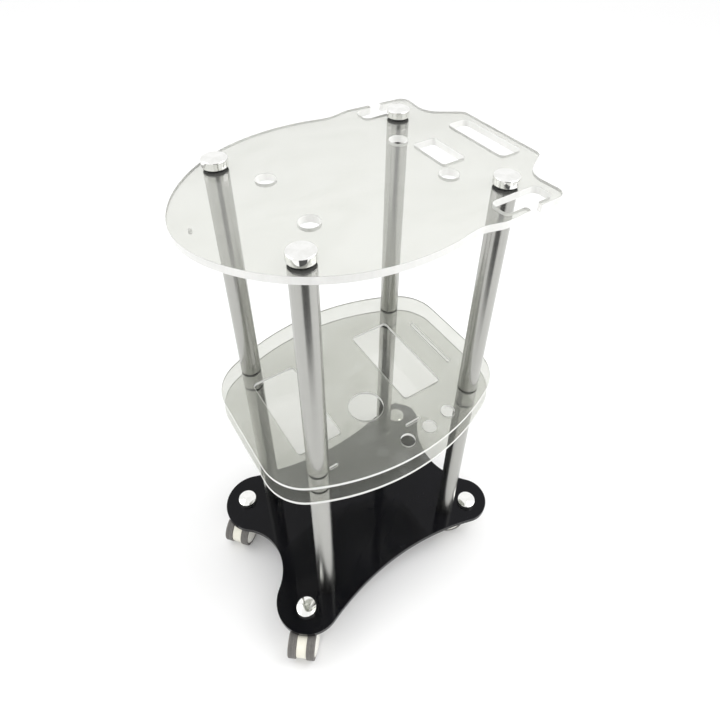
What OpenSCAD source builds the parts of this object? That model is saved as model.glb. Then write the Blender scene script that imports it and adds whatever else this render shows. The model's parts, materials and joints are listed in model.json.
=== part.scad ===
// Equipment trolley: a clear top board and a two-layer clear shelf on four
// tubular posts, over a dark lobed base plate with four twin-wheel casters.
// Millimetres. X runs along the length (nose at -X, grab handle at +X),
// Y is the width, Z is up, and the floor is Z = 0.

/* [Posts] */
// distance between post axes along the length
post_dx = 262; // [240:1:300]
// distance between post axes across the width
post_dy = 210; // [190:1:222]
// outside diameter of the post tubes
tube_d = 30; // [26:1:32]
// wall thickness of the post tubes
tube_wall = 1.5; // [1:0.25:3]

/* [Levels] */
// height of the base plate's upper face above the floor
base_top = 70; // [70:1:75]
// height of the lower shelf layer's upper face
lower_top = 401; // [300:1:420]
// height of the upper shelf layer's upper face
upper_top = 437; // [435:1:470]
// height of the top board's upper face
board_top = 788; // [700:1:900]

/* [Plates] */
// thickness of the top board
board_t = 10; // [8:0.5:14]
// thickness of each shelf layer
shelf_t = 5; // [4:0.5:8]
// thickness of the base plate
base_t = 10; // [10:0.5:14]

/* [Top board] */
// half width of the oval
oval_b = 162; // [158:0.5:166]
// distance of the grab handle's outer edge from the post centre
handle_x = 222; // [220:1:232]
// diameter of the four foot holes
foot_d = 25; // [20:1:30]

/* [Shelf] */
// half length of the shelf layers
shelf_hx = 192; // [188:1:198]
// half width of the shelf layers
shelf_hy = 161; // [158:1:166]
// diameter of the bottle hole
bottle_d = 52; // [40:1:56]
// diameter of the three handpiece holes
hand_d = 21; // [16:0.5:23]

/* [Casters] */
// distance between caster stems along the length
caster_dx = 354; // [340:1:360]
// distance between caster stems across the width
caster_dy = 236; // [226:1:244]
// wheel diameter
wheel_d = 55; // [50:1:55]
// distance from the stem to the axle
trail = 35; // [35:1:38]
// half width of the housing between the two wheels
housing_hy = 8.2; // [8:0.1:8.6]
// distance of the tread's outer edge from the caster's middle plane
tread_out = 22.6; // [21:0.1:24]
// how far the hub cover bulges outside the tread
hub_bulge = 3.4; // [2:0.1:4]
// resting swivel angle, nose end, left
swing_nose_left = -130; // [-180:1:180]
// resting swivel angle, nose end, right
swing_nose_right = -140; // [-180:1:180]
// resting swivel angle, handle end, left
swing_handle_left = 150; // [-180:1:180]
// resting swivel angle, handle end, right
swing_handle_right = 35; // [-180:1:180]

/* [Hidden] */
$fn = 96;
eps = 0.01;
washer_t = 1;          // gaskets between tubes and plates
stud_r = 5;            // M10 rods and stems
hole_r = 5.5;          // clearance holes for them
plug_h = 14;
tube_r = tube_d / 2;
bore_r = tube_r - tube_wall;
board_bot = board_top - board_t;
upper_bot = upper_top - shelf_t;
lower_bot = lower_top - shelf_t;
base_bot = base_top - base_t;
wheel_r = wheel_d / 2;
hub_r = wheel_r - 4.5;
wheel_in = housing_hy + 0.5;
axle_r = 3;
axle_gap = 0.05;
stem_gap = 0.05;
caster_cx = -2;        // middle of the four caster stems
cap_ring = 3;          // black ring under each post cap
cap_h = 10;
dome_ring = 1.2;       // black ring under each caster cap
dome_h = 9;

// left is -Y, right is +Y, seen by a person behind the handle
NAMES = ["nose_left", "nose_right", "handle_left", "handle_right"];
SX = [-1, -1, 1, 1];
SY = [-1, 1, -1, 1];
SWING = [swing_nose_left, swing_nose_right, swing_handle_left, swing_handle_right];

CORNERS = [0, 1, 2, 3];
function post_at(i) = [SX[i] * post_dx / 2, SY[i] * post_dy / 2];
function stem_at(i) = [caster_cx + SX[i] * caster_dx / 2, SY[i] * caster_dy / 2];

// ---- outlines -------------------------------------------------------------
function dist(a, b) = norm(a - b);
// the upper crossing point of two circles
function crossing(a, ra, b, rb) =
    let (d = dist(a, b), k = (ra * ra - rb * rb + d * d) / (2 * d),
         h = sqrt(ra * ra - k * k), u = (b - a) / d)
    a + k * u + h * [-u[1], u[0]];
function unit(v) = v / norm(v);
function wrap(a) = a > 180 ? a - 360 : a < -180 ? a + 360 : a;
// the points of one rounded corner, 4 degrees apart
function corner(a, b, c, r) =
    r <= 0 ? [b] :
    let (u = unit(a - b), v = unit(c - b), half = acos(u * v) / 2,
         o = b + unit(u + v) * r / sin(half), s = b + u * r / tan(half),
         e = b + v * r / tan(half),
         a0 = atan2(s[1] - o[1], s[0] - o[0]),
         da = wrap(atan2(e[1] - o[1], e[0] - o[0]) - a0),
         n = max(2, ceil(abs(da) / 4)))
    [for (i = [0:n]) o + r * [cos(a0 + da * i / n), sin(a0 + da * i / n)]];
function xy(p) = [p[0], p[1]];
// a closed outline from [x, y, radius] corners
function rounded(v) = let (n = len(v))
    [for (i = [0:n - 1]) each corner(xy(v[(i + n - 1) % n]), xy(v[i]), xy(v[(i + 1) % n]), v[i][2])];
// an open chain from [x, y, radius] corners: first and last stay sharp
function chain(v) = let (n = len(v))
    [for (i = [0:n - 1]) each (i == 0 || i == n - 1 ? [xy(v[i])] : corner(xy(v[i - 1]), xy(v[i]), xy(v[i + 1]), v[i][2]))];
function flip(v) = [for (i = [len(v) - 1:-1:0]) [v[i][0], -v[i][1]]];

// a rectangle with round corners, from x0, y0 to x1, y1
module window(x0, y0, x1, y1, r) {
    translate([x0 + r, y0]) square([x1 - x0 - 2 * r, y1 - y0]);
    translate([x0, y0 + r]) square([x1 - x0, y1 - y0 - 2 * r]);
    for (x = [x0 + r, x1 - r], y = [y0 + r, y1 - r]) translate([x, y]) circle(r);
}

// top board: an oval nose that runs out into two hooked ears and a handle
oval_a = 202;
oval_cx = -18;
function oval(t) = [oval_cx - oval_a * cos(t), oval_b * sin(t) * (1 - 0.115 * pow(cos(t), 4))];
half_oval = [for (t = [2:3:101]) oval(t)];
half_tail = chain([[24, oval_b - 3.8, 0], [52, oval_b - 9, 50], [82, 161, 50], [128, 158, 60],
                   [179, 155.5, 14], [174.5, 101, 30], [handle_x, 72, 12], [handle_x, 40, 0]]);
board_outline = concat([oval(0)], half_oval, half_tail, flip(half_tail), flip(half_oval));
hook = rounded([[90, 123, 9], [162, 123, 9], [162, 150.5, 9], [135, 150.5, 4], [135, 155.8, 4],
                [143, 176, 0], [110.5, 176, 0], [118.5, 155.8, 4], [118.5, 150.5, 4], [90, 150.5, 9]]);
FEET = [[-93, -51], [-93, 51], [93, -51], [93, 51]];

// an arc's points about c, without its last point
function arc(c, r, a0, a1, step = 4) = let (n = ceil(abs(a1 - a0) / step))
    [for (i = [0:n - 1]) c + r * [cos(a0 + (a1 - a0) * i / n), sin(a0 + (a1 - a0) * i / n)]];
function heading(a, b) = atan2(b[1] - a[1], b[0] - a[0]);
function turn(a) = a < 0 ? a + 360 : a;

// shelf layers: bowed long sides, straight ends, round corners
shelf_r = 342;
corner_r = 70;
shelf_c = [shelf_hx - corner_r,
           shelf_hy - shelf_r + sqrt(pow(shelf_r - corner_r, 2) - pow(shelf_hx - corner_r, 2))];
bow_c = [0, shelf_hy - shelf_r];
bow_a = heading(bow_c, shelf_c);
shelf_points = concat(
    arc(shelf_c, corner_r, 0, bow_a),
    arc(bow_c, shelf_r, bow_a, 180 - bow_a, 1),
    arc([-shelf_c[0], shelf_c[1]], corner_r, 180 - bow_a, 180),
    [[-shelf_hx, shelf_c[1]]],
    arc(-shelf_c, corner_r, 180, 180 + bow_a),
    arc(-bow_c, shelf_r, 180 + bow_a, 360 - bow_a, 1),
    arc([shelf_c[0], -shelf_c[1]], corner_r, 360 - bow_a, 360),
    [[shelf_hx, -shelf_c[1]]]);
module shelf_outline() { polygon(shelf_points); }

// base plate: two large and two smaller lobes joined by hollow sides
nose_lobe = [-167, 106.5];
nose_lobe_r = 56;
tail_lobe = [175, 111];
tail_lobe_r = 43;
long_r = 465;
long_c = crossing(nose_lobe, long_r + nose_lobe_r, tail_lobe, long_r + tail_lobe_r);
nose_c = [-258, 0];
tail_c = [294, 0];
half_base = concat(
    arc(nose_c, dist(nose_c, nose_lobe) - nose_lobe_r, 0, heading(nose_c, nose_lobe)),
    arc(nose_lobe, nose_lobe_r, turn(heading(nose_lobe, nose_c)), heading(nose_lobe, long_c)),
    arc(long_c, long_r, turn(heading(long_c, nose_lobe)), turn(heading(long_c, tail_lobe)), 1),
    arc(tail_lobe, tail_lobe_r, heading(tail_lobe, long_c), heading(tail_lobe, tail_c)),
    arc(tail_c, dist(tail_c, tail_lobe) - tail_lobe_r, heading(tail_c, tail_lobe), 180));
base_points = concat(half_base, [[tail_c[0] - dist(tail_c, tail_lobe) + tail_lobe_r, 0]],
                     [for (i = [len(half_base) - 1:-1:1]) [half_base[i][0], -half_base[i][1]]]);
module base_outline() { polygon(base_points); }
module post_holes() { for (i = CORNERS) translate(post_at(i)) circle(hole_r); }

// ---- small shared shapes ---------------------------------------------------
module rod(r, z0, z1) { translate([0, 0, z0]) cylinder(h = z1 - z0, r = r); }
module ring(r, r_in, z0, z1) {
    translate([0, 0, z0]) linear_extrude(z1 - z0) difference() { circle(r); circle(r_in); }
}
// a tube end plug, threaded right through
module plug(z0) { ring(bore_r, stud_r, z0, z0 + plug_h); }
// where each tube starts and ends
function lower_span() = [base_top, lower_bot - washer_t];
function spacer_span() = [lower_top + washer_t, upper_bot - washer_t];
function upper_span() = [upper_top + washer_t, board_bot - washer_t];

// ---- plates ------------------------------------------------------------------
// clear oval board with a grab handle and two hooked ears
module top_board() {
    color([0.86, 0.90, 0.88, 0.35])
    translate([0, 0, board_bot]) linear_extrude(board_t) difference() {
        polygon(board_outline);
        polygon(hook);
        polygon(flip(hook));
        window(175, -53.5, handle_x - 12.5, 53.5, 8);
        window(100.5, -31, 136, 31, 5);
        translate([-201, 0]) circle(2);
        for (f = FEET) translate(f) circle(foot_d / 2);
        post_holes();
    }
}

// upper shelf layer: two windows, a bottle hole, three handpiece holes, slots
module shelf_upper() {
    color([0.86, 0.90, 0.88, 0.35])
    translate([0, 0, upper_bot]) linear_extrude(shelf_t) difference() {
        shelf_outline();
        post_holes();
        window(-143, -73.5, -75, 73.5, 6);
        window(35.5, -74, 102.5, 76, 6);
        window(136, -52, 142, 52, 2.9);
        window(-118, -115, -105, -111.5, 1.7);
        window(8, -115, 34, -111.5, 1.7);
        translate([-21, -53.5]) circle(bottle_d / 2);
        translate([-3.5, -134.5]) circle(hand_d / 2);
        translate([36, -133]) circle(hand_d / 2);
        translate([75, -126]) circle(hand_d / 2);
    }
}

// lower shelf layer: the plain floor under the upper one
module shelf_lower() {
    color([0.86, 0.90, 0.88, 0.35])
    translate([0, 0, lower_bot]) linear_extrude(shelf_t) difference() {
        shelf_outline();
        post_holes();
    }
}

// dark base plate, countersunk below for the post screws
module base_plate() {
    color([0.02, 0.02, 0.025])
    difference() {
        translate([0, 0, base_bot]) linear_extrude(base_t) difference() {
            base_outline();
            post_holes();
            for (i = CORNERS) translate(stem_at(i)) circle(hole_r);
        }
        for (i = CORNERS) translate(post_at(i)) translate([0, 0, base_bot - eps])
            cylinder(h = 5 + eps, r1 = 10.5, r2 = hole_r);
    }
}

// ---- posts -------------------------------------------------------------------
module tube(i, span) {
    color([0.78, 0.78, 0.76]) translate(post_at(i)) ring(tube_r, bore_r, span[0], span[1]);
}
module lower_tube(i) { tube(i, lower_span()); }
module spacer_tube(i) { tube(i, spacer_span()); }
module upper_tube(i) { tube(i, upper_span()); }

// polished round cap that screws down on the top board
module post_cap(i) {
    z0 = board_top + cap_ring;
    color([0.93, 0.93, 0.92]) translate(post_at(i)) difference() {
        rotate_extrude() difference() {
            union() {
                translate([0, z0]) square([tube_r + 0.7, cap_h - 1.5]);
                translate([0, z0]) square([tube_r - 0.8, cap_h]);
                translate([tube_r - 0.8, z0 + cap_h - 1.5]) circle(1.5, $fn = 48);
            }
            translate([-5, z0 - 5]) square([5, cap_h + 10]);
        }
        translate([0, 0, z0 - 1]) cylinder(h = 9, r = stud_r);
    }
}

// black rings under the four post caps
module cap_rings() {
    color([0.03, 0.03, 0.03]) for (i = CORNERS) translate(post_at(i))
        ring(tube_r - 0.8, hole_r, board_top, board_top + cap_ring);
}

// thin black gaskets between the tubes and the clear plates
module tube_gaskets() {
    color([0.03, 0.03, 0.03]) for (i = CORNERS) translate(post_at(i)) {
        for (z = [lower_bot - washer_t, lower_top, upper_bot - washer_t, upper_top, board_bot - washer_t])
            ring(tube_r - 0.5, hole_r, z, z + washer_t);
    }
}

// threaded plugs pressed into every tube end
module tube_plugs() {
    color([0.55, 0.55, 0.56]) for (i = CORNERS) translate(post_at(i)) {
        plug(lower_span()[0]);
        plug(lower_span()[1] - plug_h);
        plug(upper_span()[0]);
        plug(upper_span()[1] - plug_h);
        // the short spacer holds one long plug
        ring(bore_r, stud_r, spacer_span()[0], spacer_span()[1]);
    }
}

// threaded rods that clamp the shelf layers, and the board under its caps
module joint_studs() {
    color([0.6, 0.6, 0.6]) for (i = CORNERS) translate(post_at(i)) {
        rod(stud_r, lower_span()[1] - 12, upper_span()[0] + 12);
        rod(stud_r, upper_span()[1] - 12, board_top + cap_ring + 7.5);
    }
}

// countersunk screws that hold the posts from under the base plate
module base_screws() {
    color([0.45, 0.45, 0.46]) for (i = CORNERS) translate(post_at(i)) difference() {
        union() {
            translate([0, 0, base_bot]) cylinder(h = 5, r1 = 10, r2 = stud_r);
            rod(stud_r, base_bot + 2, base_top + 12);
        }
        // six-sided key socket
        translate([0, 0, base_bot - 1]) cylinder(h = 4.5, r = 3.4, $fn = 6);
    }
}

// ---- casters -----------------------------------------------------------------
module at_caster(i) { translate(stem_at(i)) rotate([0, 0, SWING[i]]) children(); }

// stem with a bearing flange below and a thread above the base plate
module caster_stem(i) {
    color([0.7, 0.7, 0.7]) translate(stem_at(i)) {
        rod(stud_r, 28, base_top + dome_ring + 6);
        translate([0, 0, base_bot - 2]) cylinder(h = 2, r = 15);
    }
}

// white swivel housing: a round web between the wheels and a stem barrel
module caster_housing(i) {
    color([0.93, 0.92, 0.86]) at_caster(i) difference() {
        union() {
            rod(11, 24, base_bot - 2.4);
            translate([0, housing_hy, 0]) rotate([90, 0, 0]) linear_extrude(2 * housing_hy) {
                difference() {
                    translate([trail, wheel_r]) circle(wheel_r - 2);
                    translate([trail - 40, -10]) square([80, 13.5]);
                }
                polygon([[0, 26], [0, base_bot - 2.4], [15, base_bot - 2.4], [trail, wheel_r + 25], [trail, 26]]);
            }
        }
        rod(stud_r + stem_gap, 27, 80);
        translate([trail, 30, wheel_r]) rotate([90, 0, 0]) cylinder(h = 60, r = axle_r);
    }
}

module caster_axle(i) {
    color([0.7, 0.7, 0.7]) at_caster(i) translate([trail, 21, wheel_r]) rotate([90, 0, 0])
        cylinder(h = 42, r = axle_r);
}

// one wheel's profile is turned about the axle: x is the radius, y is outward
module hub_profile() {
    dome_r = (pow(hub_r - 1, 2) + pow(hub_bulge, 2)) / (2 * hub_bulge);
    difference() {
        union() {
            translate([0, wheel_in]) square([hub_r, tread_out - wheel_in - 1.5]);
            intersection() {
                translate([0, tread_out - 2]) square([hub_r - 1, hub_bulge + 3]);
                translate([0, tread_out + hub_bulge - dome_r]) circle(dome_r, $fn = 360);
            }
        }
        // bore, and a hollow around it on the inner side
        translate([-1, wheel_in - 1]) square([1 + axle_r + axle_gap, 22 - wheel_in]);
        translate([8, wheel_in - 1]) square([hub_r - 11, 9]);
    }
}
module tyre_profile() {
    w = tread_out - wheel_in;
    difference() {
        translate([0, wheel_in]) window(hub_r, 0, wheel_r, w, 1.6);
        for (k = [0.28, 0.5, 0.72]) translate([wheel_r - 0.5, wheel_in + k * w - 0.35]) square([1, 0.7]);
    }
}
module wheel_place(i, side) {
    at_caster(i) translate([trail, 0, wheel_r]) rotate([side > 0 ? -90 : 90, 0, 0]) children();
}
module caster_hub(i, side) {
    color([0.94, 0.93, 0.90]) wheel_place(i, side) rotate_extrude() hub_profile();
}
module caster_tyre(i, side) {
    color([0.42, 0.41, 0.40]) wheel_place(i, side) rotate_extrude() tyre_profile();
}

// polished dome nut on each caster stem, on top of the base plate
module caster_cap(i) {
    z0 = base_top + dome_ring;
    r = 16.3;
    rise = 2.4;
    dome = (r * r + rise * rise) / (2 * rise);
    color([0.93, 0.93, 0.92]) translate(stem_at(i)) difference() {
        rotate_extrude() union() {
            translate([0, z0]) square([r, dome_h - rise]);
            intersection() {
                translate([0, z0]) square([r, dome_h]);
                translate([0, z0 + dome_h - dome]) circle(dome, $fn = 240);
            }
        }
        translate([0, 0, z0 - 1]) cylinder(h = 7, r = stud_r);
    }
}
module caster_rings() {
    color([0.03, 0.03, 0.03]) for (i = CORNERS) translate(stem_at(i))
        ring(17, hole_r, base_top, base_top + dome_ring);
}

top_board();
shelf_upper();
shelf_lower();
base_plate();
lower_tube(0);  // lower_tube_nose_left
lower_tube(1);  // lower_tube_nose_right
lower_tube(2);  // lower_tube_handle_left
lower_tube(3);  // lower_tube_handle_right
spacer_tube(0);  // spacer_tube_nose_left
spacer_tube(1);  // spacer_tube_nose_right
spacer_tube(2);  // spacer_tube_handle_left
spacer_tube(3);  // spacer_tube_handle_right
upper_tube(0);  // upper_tube_nose_left
upper_tube(1);  // upper_tube_nose_right
upper_tube(2);  // upper_tube_handle_left
upper_tube(3);  // upper_tube_handle_right
post_cap(0);  // post_cap_nose_left
post_cap(1);  // post_cap_nose_right
post_cap(2);  // post_cap_handle_left
post_cap(3);  // post_cap_handle_right
cap_rings();
tube_gaskets();
tube_plugs();
joint_studs();
base_screws();
caster_rings();
caster_cap(0);  // caster_cap_nose_left
caster_cap(1);  // caster_cap_nose_right
caster_cap(2);  // caster_cap_handle_left
caster_cap(3);  // caster_cap_handle_right
caster_stem(0);  // caster_stem_nose_left
caster_stem(1);  // caster_stem_nose_right
caster_stem(2);  // caster_stem_handle_left
caster_stem(3);  // caster_stem_handle_right
caster_housing(0);  // caster_housing_nose_left
caster_housing(1);  // caster_housing_nose_right
caster_housing(2);  // caster_housing_handle_left
caster_housing(3);  // caster_housing_handle_right
caster_axle(0);  // caster_axle_nose_left
caster_axle(1);  // caster_axle_nose_right
caster_axle(2);  // caster_axle_handle_left
caster_axle(3);  // caster_axle_handle_right
caster_hub(0, 1);  // hub_a_nose_left
caster_hub(1, 1);  // hub_a_nose_right
caster_hub(2, 1);  // hub_a_handle_left
caster_hub(3, 1);  // hub_a_handle_right
caster_hub(0, -1);  // hub_b_nose_left
caster_hub(1, -1);  // hub_b_nose_right
caster_hub(2, -1);  // hub_b_handle_left
caster_hub(3, -1);  // hub_b_handle_right
caster_tyre(0, 1);  // tyre_a_nose_left
caster_tyre(1, 1);  // tyre_a_nose_right
caster_tyre(2, 1);  // tyre_a_handle_left
caster_tyre(3, 1);  // tyre_a_handle_right
caster_tyre(0, -1);  // tyre_b_nose_left
caster_tyre(1, -1);  // tyre_b_nose_right
caster_tyre(2, -1);  // tyre_b_handle_left
caster_tyre(3, -1);  // tyre_b_handle_right
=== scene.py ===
import json
import math

import bmesh
import bpy
from mathutils import Matrix, Vector


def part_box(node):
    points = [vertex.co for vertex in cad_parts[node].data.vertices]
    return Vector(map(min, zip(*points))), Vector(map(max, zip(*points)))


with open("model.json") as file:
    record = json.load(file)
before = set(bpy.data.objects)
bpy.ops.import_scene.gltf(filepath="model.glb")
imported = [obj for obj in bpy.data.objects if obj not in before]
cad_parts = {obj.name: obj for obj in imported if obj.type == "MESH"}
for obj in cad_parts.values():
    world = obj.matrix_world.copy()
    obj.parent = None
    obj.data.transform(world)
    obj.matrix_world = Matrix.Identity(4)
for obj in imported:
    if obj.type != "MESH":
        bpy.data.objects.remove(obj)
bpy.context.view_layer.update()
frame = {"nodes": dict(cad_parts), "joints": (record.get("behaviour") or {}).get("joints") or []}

scene = bpy.context.scene
nodes = frame["nodes"]
CORNERS = ("nose_left", "nose_right", "handle_left", "handle_right")


# ---- camera ------------------------------------------------------------------
def add_camera(azimuth, elevation, roll, target, distance, lens, shift):
    data = bpy.data.cameras.new("camera")
    data.sensor_width = 36
    data.lens = lens
    data.shift_x, data.shift_y = shift
    data.clip_start, data.clip_end = 0.05, 40
    a, e, r = (math.radians(x) for x in (azimuth, elevation, roll))
    back = Vector((math.sin(a) * math.cos(e), -math.cos(a) * math.cos(e), math.sin(e)))
    right = Vector((0, 0, 1)).cross(back).normalized()
    up = back.cross(right)
    axes = Matrix((math.cos(r) * right + math.sin(r) * up, -math.sin(r) * right + math.cos(r) * up, back))
    cam = bpy.data.objects.new("camera", data)
    cam.matrix_world = Matrix.Translation(Vector(target) + back * distance) @ axes.transposed().to_4x4()
    scene.collection.objects.link(cam)
    scene.camera = cam
    return cam


camera = add_camera(-35.033, 40.42, 1.598, (-0.0879, -0.1665, 0.7822), 0.5296, 28.98, (-0.0224, -0.1037))


# ---- material building -------------------------------------------------------
class Mat:
    """A small helper that adds nodes to one material."""

    def __init__(self, name):
        self.mat = bpy.data.materials.new(name)
        self.mat.use_nodes = True
        self.nt = self.mat.node_tree
        self.nt.nodes.clear()
        self.out = self.nt.nodes.new("ShaderNodeOutputMaterial")

    def add(self, kind, **values):
        n = self.nt.nodes.new(kind)
        for k, v in values.items():
            if hasattr(n, k) and k not in n.inputs:
                setattr(n, k, v)
            else:
                self.put(n, k, v)
        return n

    def put(self, n, key, v):
        socket = n.inputs[key]
        if isinstance(v, bpy.types.NodeSocket):
            self.nt.links.new(v, socket)
        else:
            socket.default_value = v

    def place(self, origin=(0, 0, 0), turn=0.0):
        """Object coordinates about origin, turned about Z."""
        tc = self.add("ShaderNodeTexCoord").outputs["Object"]
        m = self.add("ShaderNodeMapping", vector_type="TEXTURE")
        self.put(m, "Vector", tc)
        self.put(m, "Location", origin)
        self.put(m, "Rotation", (0, 0, turn))
        return m.outputs[0]

    def stretch(self, v, scale):
        m = self.add("ShaderNodeMapping", vector_type="POINT")
        self.put(m, "Vector", v)
        self.put(m, "Scale", scale)
        return m.outputs[0]

    def noise(self, v, scale, detail=3.0, rough=0.55, distort=0.0):
        n = self.add("ShaderNodeTexNoise")
        for k, x in (("Vector", v), ("Scale", scale), ("Detail", detail), ("Roughness", rough), ("Distortion", distort)):
            self.put(n, k, x)
        return n.outputs[0]

    def ramp(self, v, lo, hi, out_lo=0.0, out_hi=1.0, smooth=True):
        n = self.add("ShaderNodeMapRange")
        n.interpolation_type = "SMOOTHSTEP" if smooth else "LINEAR"
        for k, x in (("Value", v), ("From Min", lo), ("From Max", hi), ("To Min", out_lo), ("To Max", out_hi)):
            self.put(n, k, x)
        return n.outputs[0]

    def math(self, op, a, b=0.0, c=0.0):
        n = self.add("ShaderNodeMath")
        n.operation = op
        for i, x in enumerate((a, b, c)):
            self.put(n, i, x)
        return n.outputs[0]

    def mix(self, f, a, b):
        n = self.add("ShaderNodeMix")
        n.data_type = "RGBA"
        self.put(n, 0, f)
        self.put(n, 6, a)
        self.put(n, 7, b)
        return n.outputs[2]

    def xyz(self, v):
        n = self.add("ShaderNodeSeparateXYZ")
        self.put(n, 0, v)
        return n.outputs

    def bump(self, height, strength, distance, normal=None):
        n = self.add("ShaderNodeBump")
        self.put(n, "Height", height)
        self.put(n, "Strength", strength)
        self.put(n, "Distance", distance)
        if normal is not None:
            self.put(n, "Normal", normal)
        return n.outputs[0]

    def shader(self, **values):
        n = self.add("ShaderNodeBsdfPrincipled")
        for k, v in values.items():
            self.put(n, k.replace("_", " "), v)
        self.nt.links.new(n.outputs[0], self.out.inputs["Surface"])
        return n


def rgb(r, g, b):
    """An sRGB colour, 0 to 255, as the linear colour that nodes take."""
    return tuple(((c / 255 + 0.055) / 1.055) ** 2.4 if c > 10 else c / 255 / 12.92 for c in (r, g, b)) + (1.0,)


def clear_face(name, tint=(224, 225, 220)):
    """Clear cast acrylic: a faint warm tint, wiped haze and hairline scratches."""
    m = Mat(name)
    p = m.place()
    smear = m.noise(m.stretch(p, (1.0, 2.3, 1.0)), 9, 5, 0.62, 0.8)
    dust = m.noise(p, 900, 2, 0.7)
    hair = m.noise(m.stretch(p, (12, 900, 12)), 1.0, 2, 0.5)
    hair2 = m.noise(m.stretch(m.place(turn=0.9), (14, 1100, 14)), 1.0, 2, 0.5)
    lines = m.math("MAXIMUM", m.ramp(hair, 0.70, 0.76), m.ramp(hair2, 0.71, 0.77))
    rough = m.math("ADD", m.ramp(smear, 0.35, 0.75, 0.004, 0.035), m.math("MULTIPLY", lines, 0.03))
    col = m.mix(m.ramp(m.math("ADD", smear, m.math("MULTIPLY", dust, 0.25)), 0.45, 0.95), rgb(*tint),
                rgb(tint[0] - 7, tint[1] - 7, tint[2] - 8))
    m.shader(Base_Color=col, Roughness=rough, Transmission_Weight=0.90, IOR=1.49,
             Normal=m.bump(m.noise(p, 3.2, 2, 0.5), 0.12, 0.0006))
    return m.mat


def painted_rim_glow(name):
    """The same sheet's cut and polished rim, coloured near white and mostly opaque: a painted glow that stands in for
    the light the sheet carries out to its edges.
    """
    m = Mat(name)
    p = m.place()
    run = m.noise(m.stretch(p, (260, 260, 40)), 1.0, 3, 0.6)
    layer = m.noise(m.stretch(p, (8, 8, 1400)), 1.0, 2, 0.5)
    mixv = m.math("ADD", m.math("MULTIPLY", run, 0.6), m.math("MULTIPLY", layer, 0.4))
    # Painted glow: near-white colour and low transmission stand in for light carried out through the sheet's edges.
    m.shader(Base_Color=m.mix(m.ramp(mixv, 0.3, 0.7), rgb(253, 253, 251), rgb(246, 246, 243)),
             Roughness=m.ramp(mixv, 0.3, 0.7, 0.12, 0.28), Transmission_Weight=0.22, IOR=1.49,
             Normal=m.bump(mixv, 0.25, 0.0003))
    return m.mat


def black_sheet(name):
    """Glossy black acrylic with dust and fine wiping marks."""
    m = Mat(name)
    p = m.place()
    cloud = m.noise(p, 7, 5, 0.6, 0.5)
    dust = m.noise(p, 1500, 2, 0.8)
    hair = m.noise(m.stretch(m.place(turn=0.5), (10, 900, 10)), 1.0, 2, 0.5)
    lines = m.ramp(hair, 0.69, 0.76)
    speck = m.ramp(dust, 0.70, 0.80)
    col = m.mix(m.math("ADD", m.math("MULTIPLY", speck, 0.10), m.math("MULTIPLY", lines, 0.04)),
                m.mix(m.ramp(cloud, 0.3, 0.75), rgb(9, 9, 12), rgb(14, 14, 18)), rgb(90, 90, 94))
    m.shader(Base_Color=col, Roughness=m.math("ADD", m.ramp(cloud, 0.3, 0.8, 0.03, 0.10), m.math("MULTIPLY", lines, 0.08)),
             Specular_IOR_Level=0.16, Normal=m.bump(m.noise(p, 4.0, 2, 0.5), 0.10, 0.0005))
    return m.mat


def satin_tube(name, centre):
    """Satin drawn tube: fine grain round the tube, faint draw lines along it."""
    m = Mat(name)
    p = m.place((centre[0], centre[1], 0))
    round_grain = m.noise(m.stretch(p, (30, 30, 2600)), 1.0, 3, 0.6)
    draw = m.noise(m.stretch(p, (900, 900, 5)), 1.0, 3, 0.6)
    cloud = m.noise(m.stretch(p, (1, 1, 0.2)), 14, 3, 0.5)
    grain = m.math("ADD", m.math("MULTIPLY", round_grain, 0.55), m.math("MULTIPLY", draw, 0.45))
    col = m.mix(m.ramp(m.math("ADD", m.math("MULTIPLY", grain, 0.9), m.math("MULTIPLY", cloud, 0.1)), 0.35, 0.65),
                rgb(170, 170, 166), rgb(182, 182, 178))
    m.shader(Base_Color=col, Metallic=1.0, Roughness=m.ramp(grain, 0.3, 0.7, 0.22, 0.27),
             Normal=m.bump(grain, 0.05, 0.00005))
    return m.mat


def polished(name, centre, top):
    """Polished cap: turning marks on the top face and in rings down the side."""
    m = Mat(name)
    p = m.place((centre[0], centre[1], top))
    s = m.xyz(p)
    rad = m.math("SQRT", m.math("ADD", m.math("MULTIPLY", s[0], s[0]), m.math("MULTIPLY", s[1], s[1])))
    comb = m.add("ShaderNodeCombineXYZ")
    m.put(comb, 0, m.math("MULTIPLY", rad, 3200.0))
    m.put(comb, 2, m.math("MULTIPLY", s[2], 900.0))
    turned = m.noise(comb.outputs[0], 1.0, 3, 0.6)
    cloud = m.noise(p, 60, 4, 0.6)
    wipe = m.noise(m.stretch(p, (400, 60, 60)), 1.0, 2, 0.5)
    m.shader(Base_Color=m.mix(m.ramp(cloud, 0.35, 0.7), rgb(244, 244, 242), rgb(234, 234, 231)), Metallic=1.0,
             Roughness=m.math("ADD", m.ramp(turned, 0.35, 0.7, 0.05, 0.11), m.ramp(wipe, 0.62, 0.75, 0.0, 0.04)),
             Normal=m.bump(turned, 0.10, 0.00006))
    return m.mat


def black_rubber(name):
    m = Mat(name)
    p = m.place()
    grit = m.noise(p, 1400, 4, 0.65)
    cloud = m.noise(p, 80, 3, 0.6)
    m.shader(Base_Color=m.mix(m.ramp(cloud, 0.3, 0.7), rgb(18, 18, 18), rgb(34, 34, 33)),
             Roughness=m.ramp(grit, 0.3, 0.7, 0.48, 0.68), Normal=m.bump(grit, 0.25, 0.0001))
    return m.mat


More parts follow.
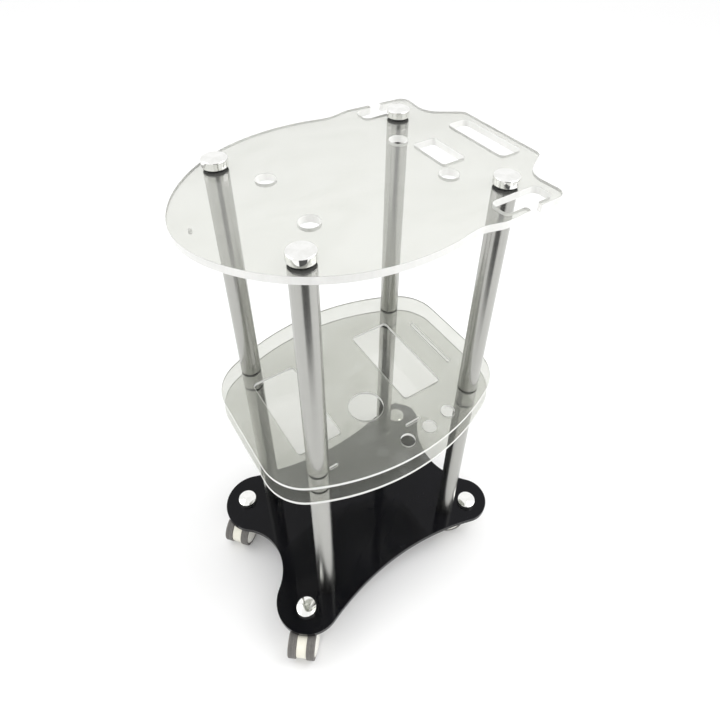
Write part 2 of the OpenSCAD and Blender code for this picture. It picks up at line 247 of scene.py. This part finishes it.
def machined(name, dark=150):
    """Turned steel: close rings along the axis, oiled patches."""
    m = Mat(name)
    p = m.place()
    rings = m.noise(m.stretch(p, (20, 20, 2200)), 1.0, 2, 0.5)
    cloud = m.noise(p, 120, 4, 0.6)
    m.shader(Base_Color=m.mix(m.ramp(cloud, 0.3, 0.7), rgb(dark, dark, dark + 2), rgb(dark + 22, dark + 22, dark + 24)),
             Metallic=1.0, Roughness=m.ramp(rings, 0.3, 0.7, 0.22, 0.38), Normal=m.bump(rings, 0.3, 0.0001))
    return m.mat


def moulded(name, a, b, rough=(0.28, 0.42), scale=1900):
    """Moulded plastic: fine spark-eroded texture, slow colour drift, and noisy patches that are darker, browner and
    rougher below 16 mm height.
    """
    m = Mat(name)
    p = m.place()
    grit = m.noise(p, scale, 3, 0.6)
    cloud = m.noise(p, 45, 4, 0.55)
    # Darker towards the bottom: noisy patches below 16 mm pull the colour towards brownish grey and raise the
    # roughness.
    low = m.ramp(m.xyz(p)[2], 0.002, 0.016, 1.0, 0.0)
    low_darkening = m.math("MULTIPLY", low, m.ramp(m.noise(p, 160, 4, 0.65), 0.40, 0.72))
    base = m.mix(m.ramp(cloud, 0.3, 0.7), rgb(*a), rgb(*b))
    m.shader(Base_Color=m.mix(m.math("MULTIPLY", low_darkening, 0.35), base, rgb(128, 122, 110)),
             Roughness=m.math("ADD", m.ramp(grit, 0.3, 0.7, rough[0], rough[1]), m.math("MULTIPLY", low_darkening, 0.2)),
             Subsurface_Weight=0.0, Normal=m.bump(grit, 0.10, 0.00008))
    return m.mat


def tread(name, axle, angle):
    """Soft grey tread: scuffed, with streaks that run round the wheel."""
    m = Mat(name)
    p = m.place(axle, angle)
    s = m.xyz(p)
    across = m.add("ShaderNodeCombineXYZ")
    m.put(across, 0, m.math("MULTIPLY", s[1], 2600.0))
    m.put(across, 1, m.math("MULTIPLY", s[0], 25.0))
    m.put(across, 2, m.math("MULTIPLY", s[2], 25.0))
    streak = m.noise(across.outputs[0], 1.0, 4, 0.65)
    scuff = m.noise(p, 260, 5, 0.7)
    grit = m.noise(p, 1700, 3, 0.7)
    both = m.math("ADD", m.math("MULTIPLY", streak, 0.6), m.math("MULTIPLY", scuff, 0.4))
    m.shader(Base_Color=m.mix(m.ramp(both, 0.34, 0.66), rgb(92, 90, 88), rgb(128, 125, 121)),
             Roughness=m.ramp(scuff, 0.3, 0.7, 0.46, 0.70),
             Normal=m.bump(m.math("ADD", m.math("MULTIPLY", streak, 0.7), m.math("MULTIPLY", grit, 0.3)), 0.35, 0.00018))
    return m.mat


# ---- finishing the CAD nodes ---------------------------------------------------
def finish(name, mats, bevel=0.0, segments=3, pick=None):
    """Gives a CAD node its materials, joins its split vertices and softens its hard edges."""
    o = nodes[name]
    me = o.data
    me.materials.clear()
    for x in mats:
        me.materials.append(x)
    for f in me.polygons:
        f.use_smooth = True
        f.material_index = pick(f) if pick else 0
    if "custom_normal" in me.attributes:
        me.attributes.remove(me.attributes["custom_normal"])
    w = o.modifiers.new("weld", "WELD")
    w.merge_threshold = 0.000002
    d = o.modifiers.new("planar", "DECIMATE")
    d.decimate_type = "DISSOLVE"
    d.angle_limit = math.radians(0.4)
    d.delimit = {"MATERIAL"}
    if bevel:
        b = o.modifiers.new("bevel", "BEVEL")
        b.width = bevel
        b.segments = segments
        b.limit_method = "ANGLE"
        b.angle_limit = math.radians(40)
        b.harden_normals = True
        b.use_clamp_overlap = True
    return o


def mid(name):
    lo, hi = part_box(name)
    return (lo + hi) / 2


def side(f):
    return 1 if abs(f.normal.z) < 0.5 else 0


face, rim_glow = clear_face("clear_acrylic"), painted_rim_glow("clear_acrylic_rim_glow_painted")
# Side faces take the rim material, which carries a painted glow.
finish("top_board", [face, rim_glow], 0.0006, 3, side)
finish("shelf_upper", [face, rim_glow], 0.0005, 3, side)
finish("shelf_lower", [face, rim_glow], 0.0005, 3, side)
finish("base_plate", [black_sheet("black_acrylic")], 0.0006, 3)
rubber = black_rubber("black_gasket")
for n in ("cap_rings", "tube_gaskets", "caster_rings"):
    finish(n, [rubber], 0.0002, 2)
plug_mat, bolt_mat = machined("plug_steel", 138), machined("fastener_steel", 158)
finish("tube_plugs", [plug_mat], 0.0002, 2)
finish("joint_studs", [bolt_mat], 0.0003, 2)
finish("base_screws", [bolt_mat], 0.0002, 2)
cream = moulded("housing_plastic", (243, 241, 228), (234, 231, 216))
white = moulded("hub_plastic", (240, 239, 232), (229, 227, 218), (0.22, 0.34))
for c in CORNERS:
    tube_mat = satin_tube("satin_tube_" + c, mid("upper_tube_" + c))
    for part in ("lower_tube_", "spacer_tube_", "upper_tube_"):
        finish(part + c, [tube_mat], 0.0003, 2)
    finish("post_cap_" + c, [polished("polished_" + c, mid("post_cap_" + c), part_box("post_cap_" + c)[1].z)], 0.0002, 2)
    finish("caster_cap_" + c, [polished("polished_dome_" + c, mid("caster_cap_" + c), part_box("caster_cap_" + c)[1].z)], 0.0004, 3)
    finish("caster_stem_" + c, [bolt_mat], 0.0003, 2)
    finish("caster_axle_" + c, [bolt_mat], 0.0003, 2)
    finish("caster_housing_" + c, [cream], 0.0008, 3)
    joint = [j for j in frame["joints"] if j["name"] == "wheel_a_" + c][0]
    angle = math.atan2(-joint["axis"][0], joint["axis"][1])
    rubber_mat = tread("tread_" + c, joint["pos_m"], angle)
    for w in "ab":
        finish(f"hub_{w}_{c}", [white], 0.0004, 3)
        finish(f"tyre_{w}_{c}", [rubber_mat], 0.0002, 2)


# ---- floor, world and lamps ----------------------------------------------------
def add_floor(size=14.0):
    me = bpy.data.meshes.new("floor")
    h = size / 2
    me.from_pydata([(-h, -h, 0), (h, -h, 0), (h, h, 0), (-h, h, 0)], [], [(0, 1, 2, 3)])
    o = bpy.data.objects.new("floor", me)
    scene.collection.objects.link(o)
    m = Mat("pale_floor")
    m.shader(Base_Color=(0.92, 0.92, 0.92, 1), Roughness=0.9, Specular_IOR_Level=0.1)
    me.materials.append(m.mat)
    return o


def add_card(name, azimuth, distance, width, low, high, grey):
    """An upright card that only shows in reflections, as a studio flag does."""
    a = math.radians(azimuth)
    out = Vector((math.sin(a), -math.cos(a), 0))
    along = Vector((math.cos(a), math.sin(a), 0)) * width / 2
    c = out * distance
    me = bpy.data.meshes.new(name)
    me.from_pydata([(c - along) + Vector((0, 0, low)), (c + along) + Vector((0, 0, low)),
                    (c + along) + Vector((0, 0, high)), (c - along) + Vector((0, 0, high))], [], [(0, 1, 2, 3)])
    o = bpy.data.objects.new(name, me)
    scene.collection.objects.link(o)
    m = Mat(name)
    m.shader(Base_Color=(grey, grey, grey, 1), Roughness=1.0, Specular_IOR_Level=0.0)
    me.materials.append(m.mat)
    o.visible_camera = o.visible_diffuse = o.visible_transmission = o.visible_shadow = False
    return o


def add_area(name, azimuth, elevation, distance, size, power, aim=(0, 0, 0.4)):
    a, e = math.radians(azimuth), math.radians(elevation)
    back = Vector((math.sin(a) * math.cos(e), -math.cos(a) * math.cos(e), math.sin(e)))
    data = bpy.data.lights.new(name, "AREA")
    data.shape = "RECTANGLE"
    data.size, data.size_y = size
    data.energy = power
    o = bpy.data.objects.new(name, data)
    o.location = Vector(aim) + back * distance
    o.rotation_mode = "QUATERNION"
    o.rotation_quaternion = (-back).to_track_quat("-Z", "Y")
    scene.collection.objects.link(o)
    return o


add_floor()
world = bpy.data.worlds.new("studio")
world.use_nodes = True
scene.world = world
nt = world.node_tree
bg = nt.nodes["Background"]
bg.inputs["Color"].default_value = (1, 1, 1, 1)
bg.inputs["Strength"].default_value = 1.06

add_area("key", 60, 55, 2.2, (1.4, 1.4), 18)
add_area("fill", -130, 50, 2.4, (1.6, 1.2), 10)
add_card("flag_front", -22, 0.75, 0.66, 0.0, 1.3, 0.09)
add_card("flag_side", 62, 1.6, 0.35, 0.0, 1.6, 0.25)

scene.view_settings.view_transform = "Standard"
scene.view_settings.look = "None"
scene.cycles.max_bounces = 20
scene.cycles.transmission_bounces = 20
scene.cycles.glossy_bounces = 8
scene.cycles.transparent_max_bounces = 16
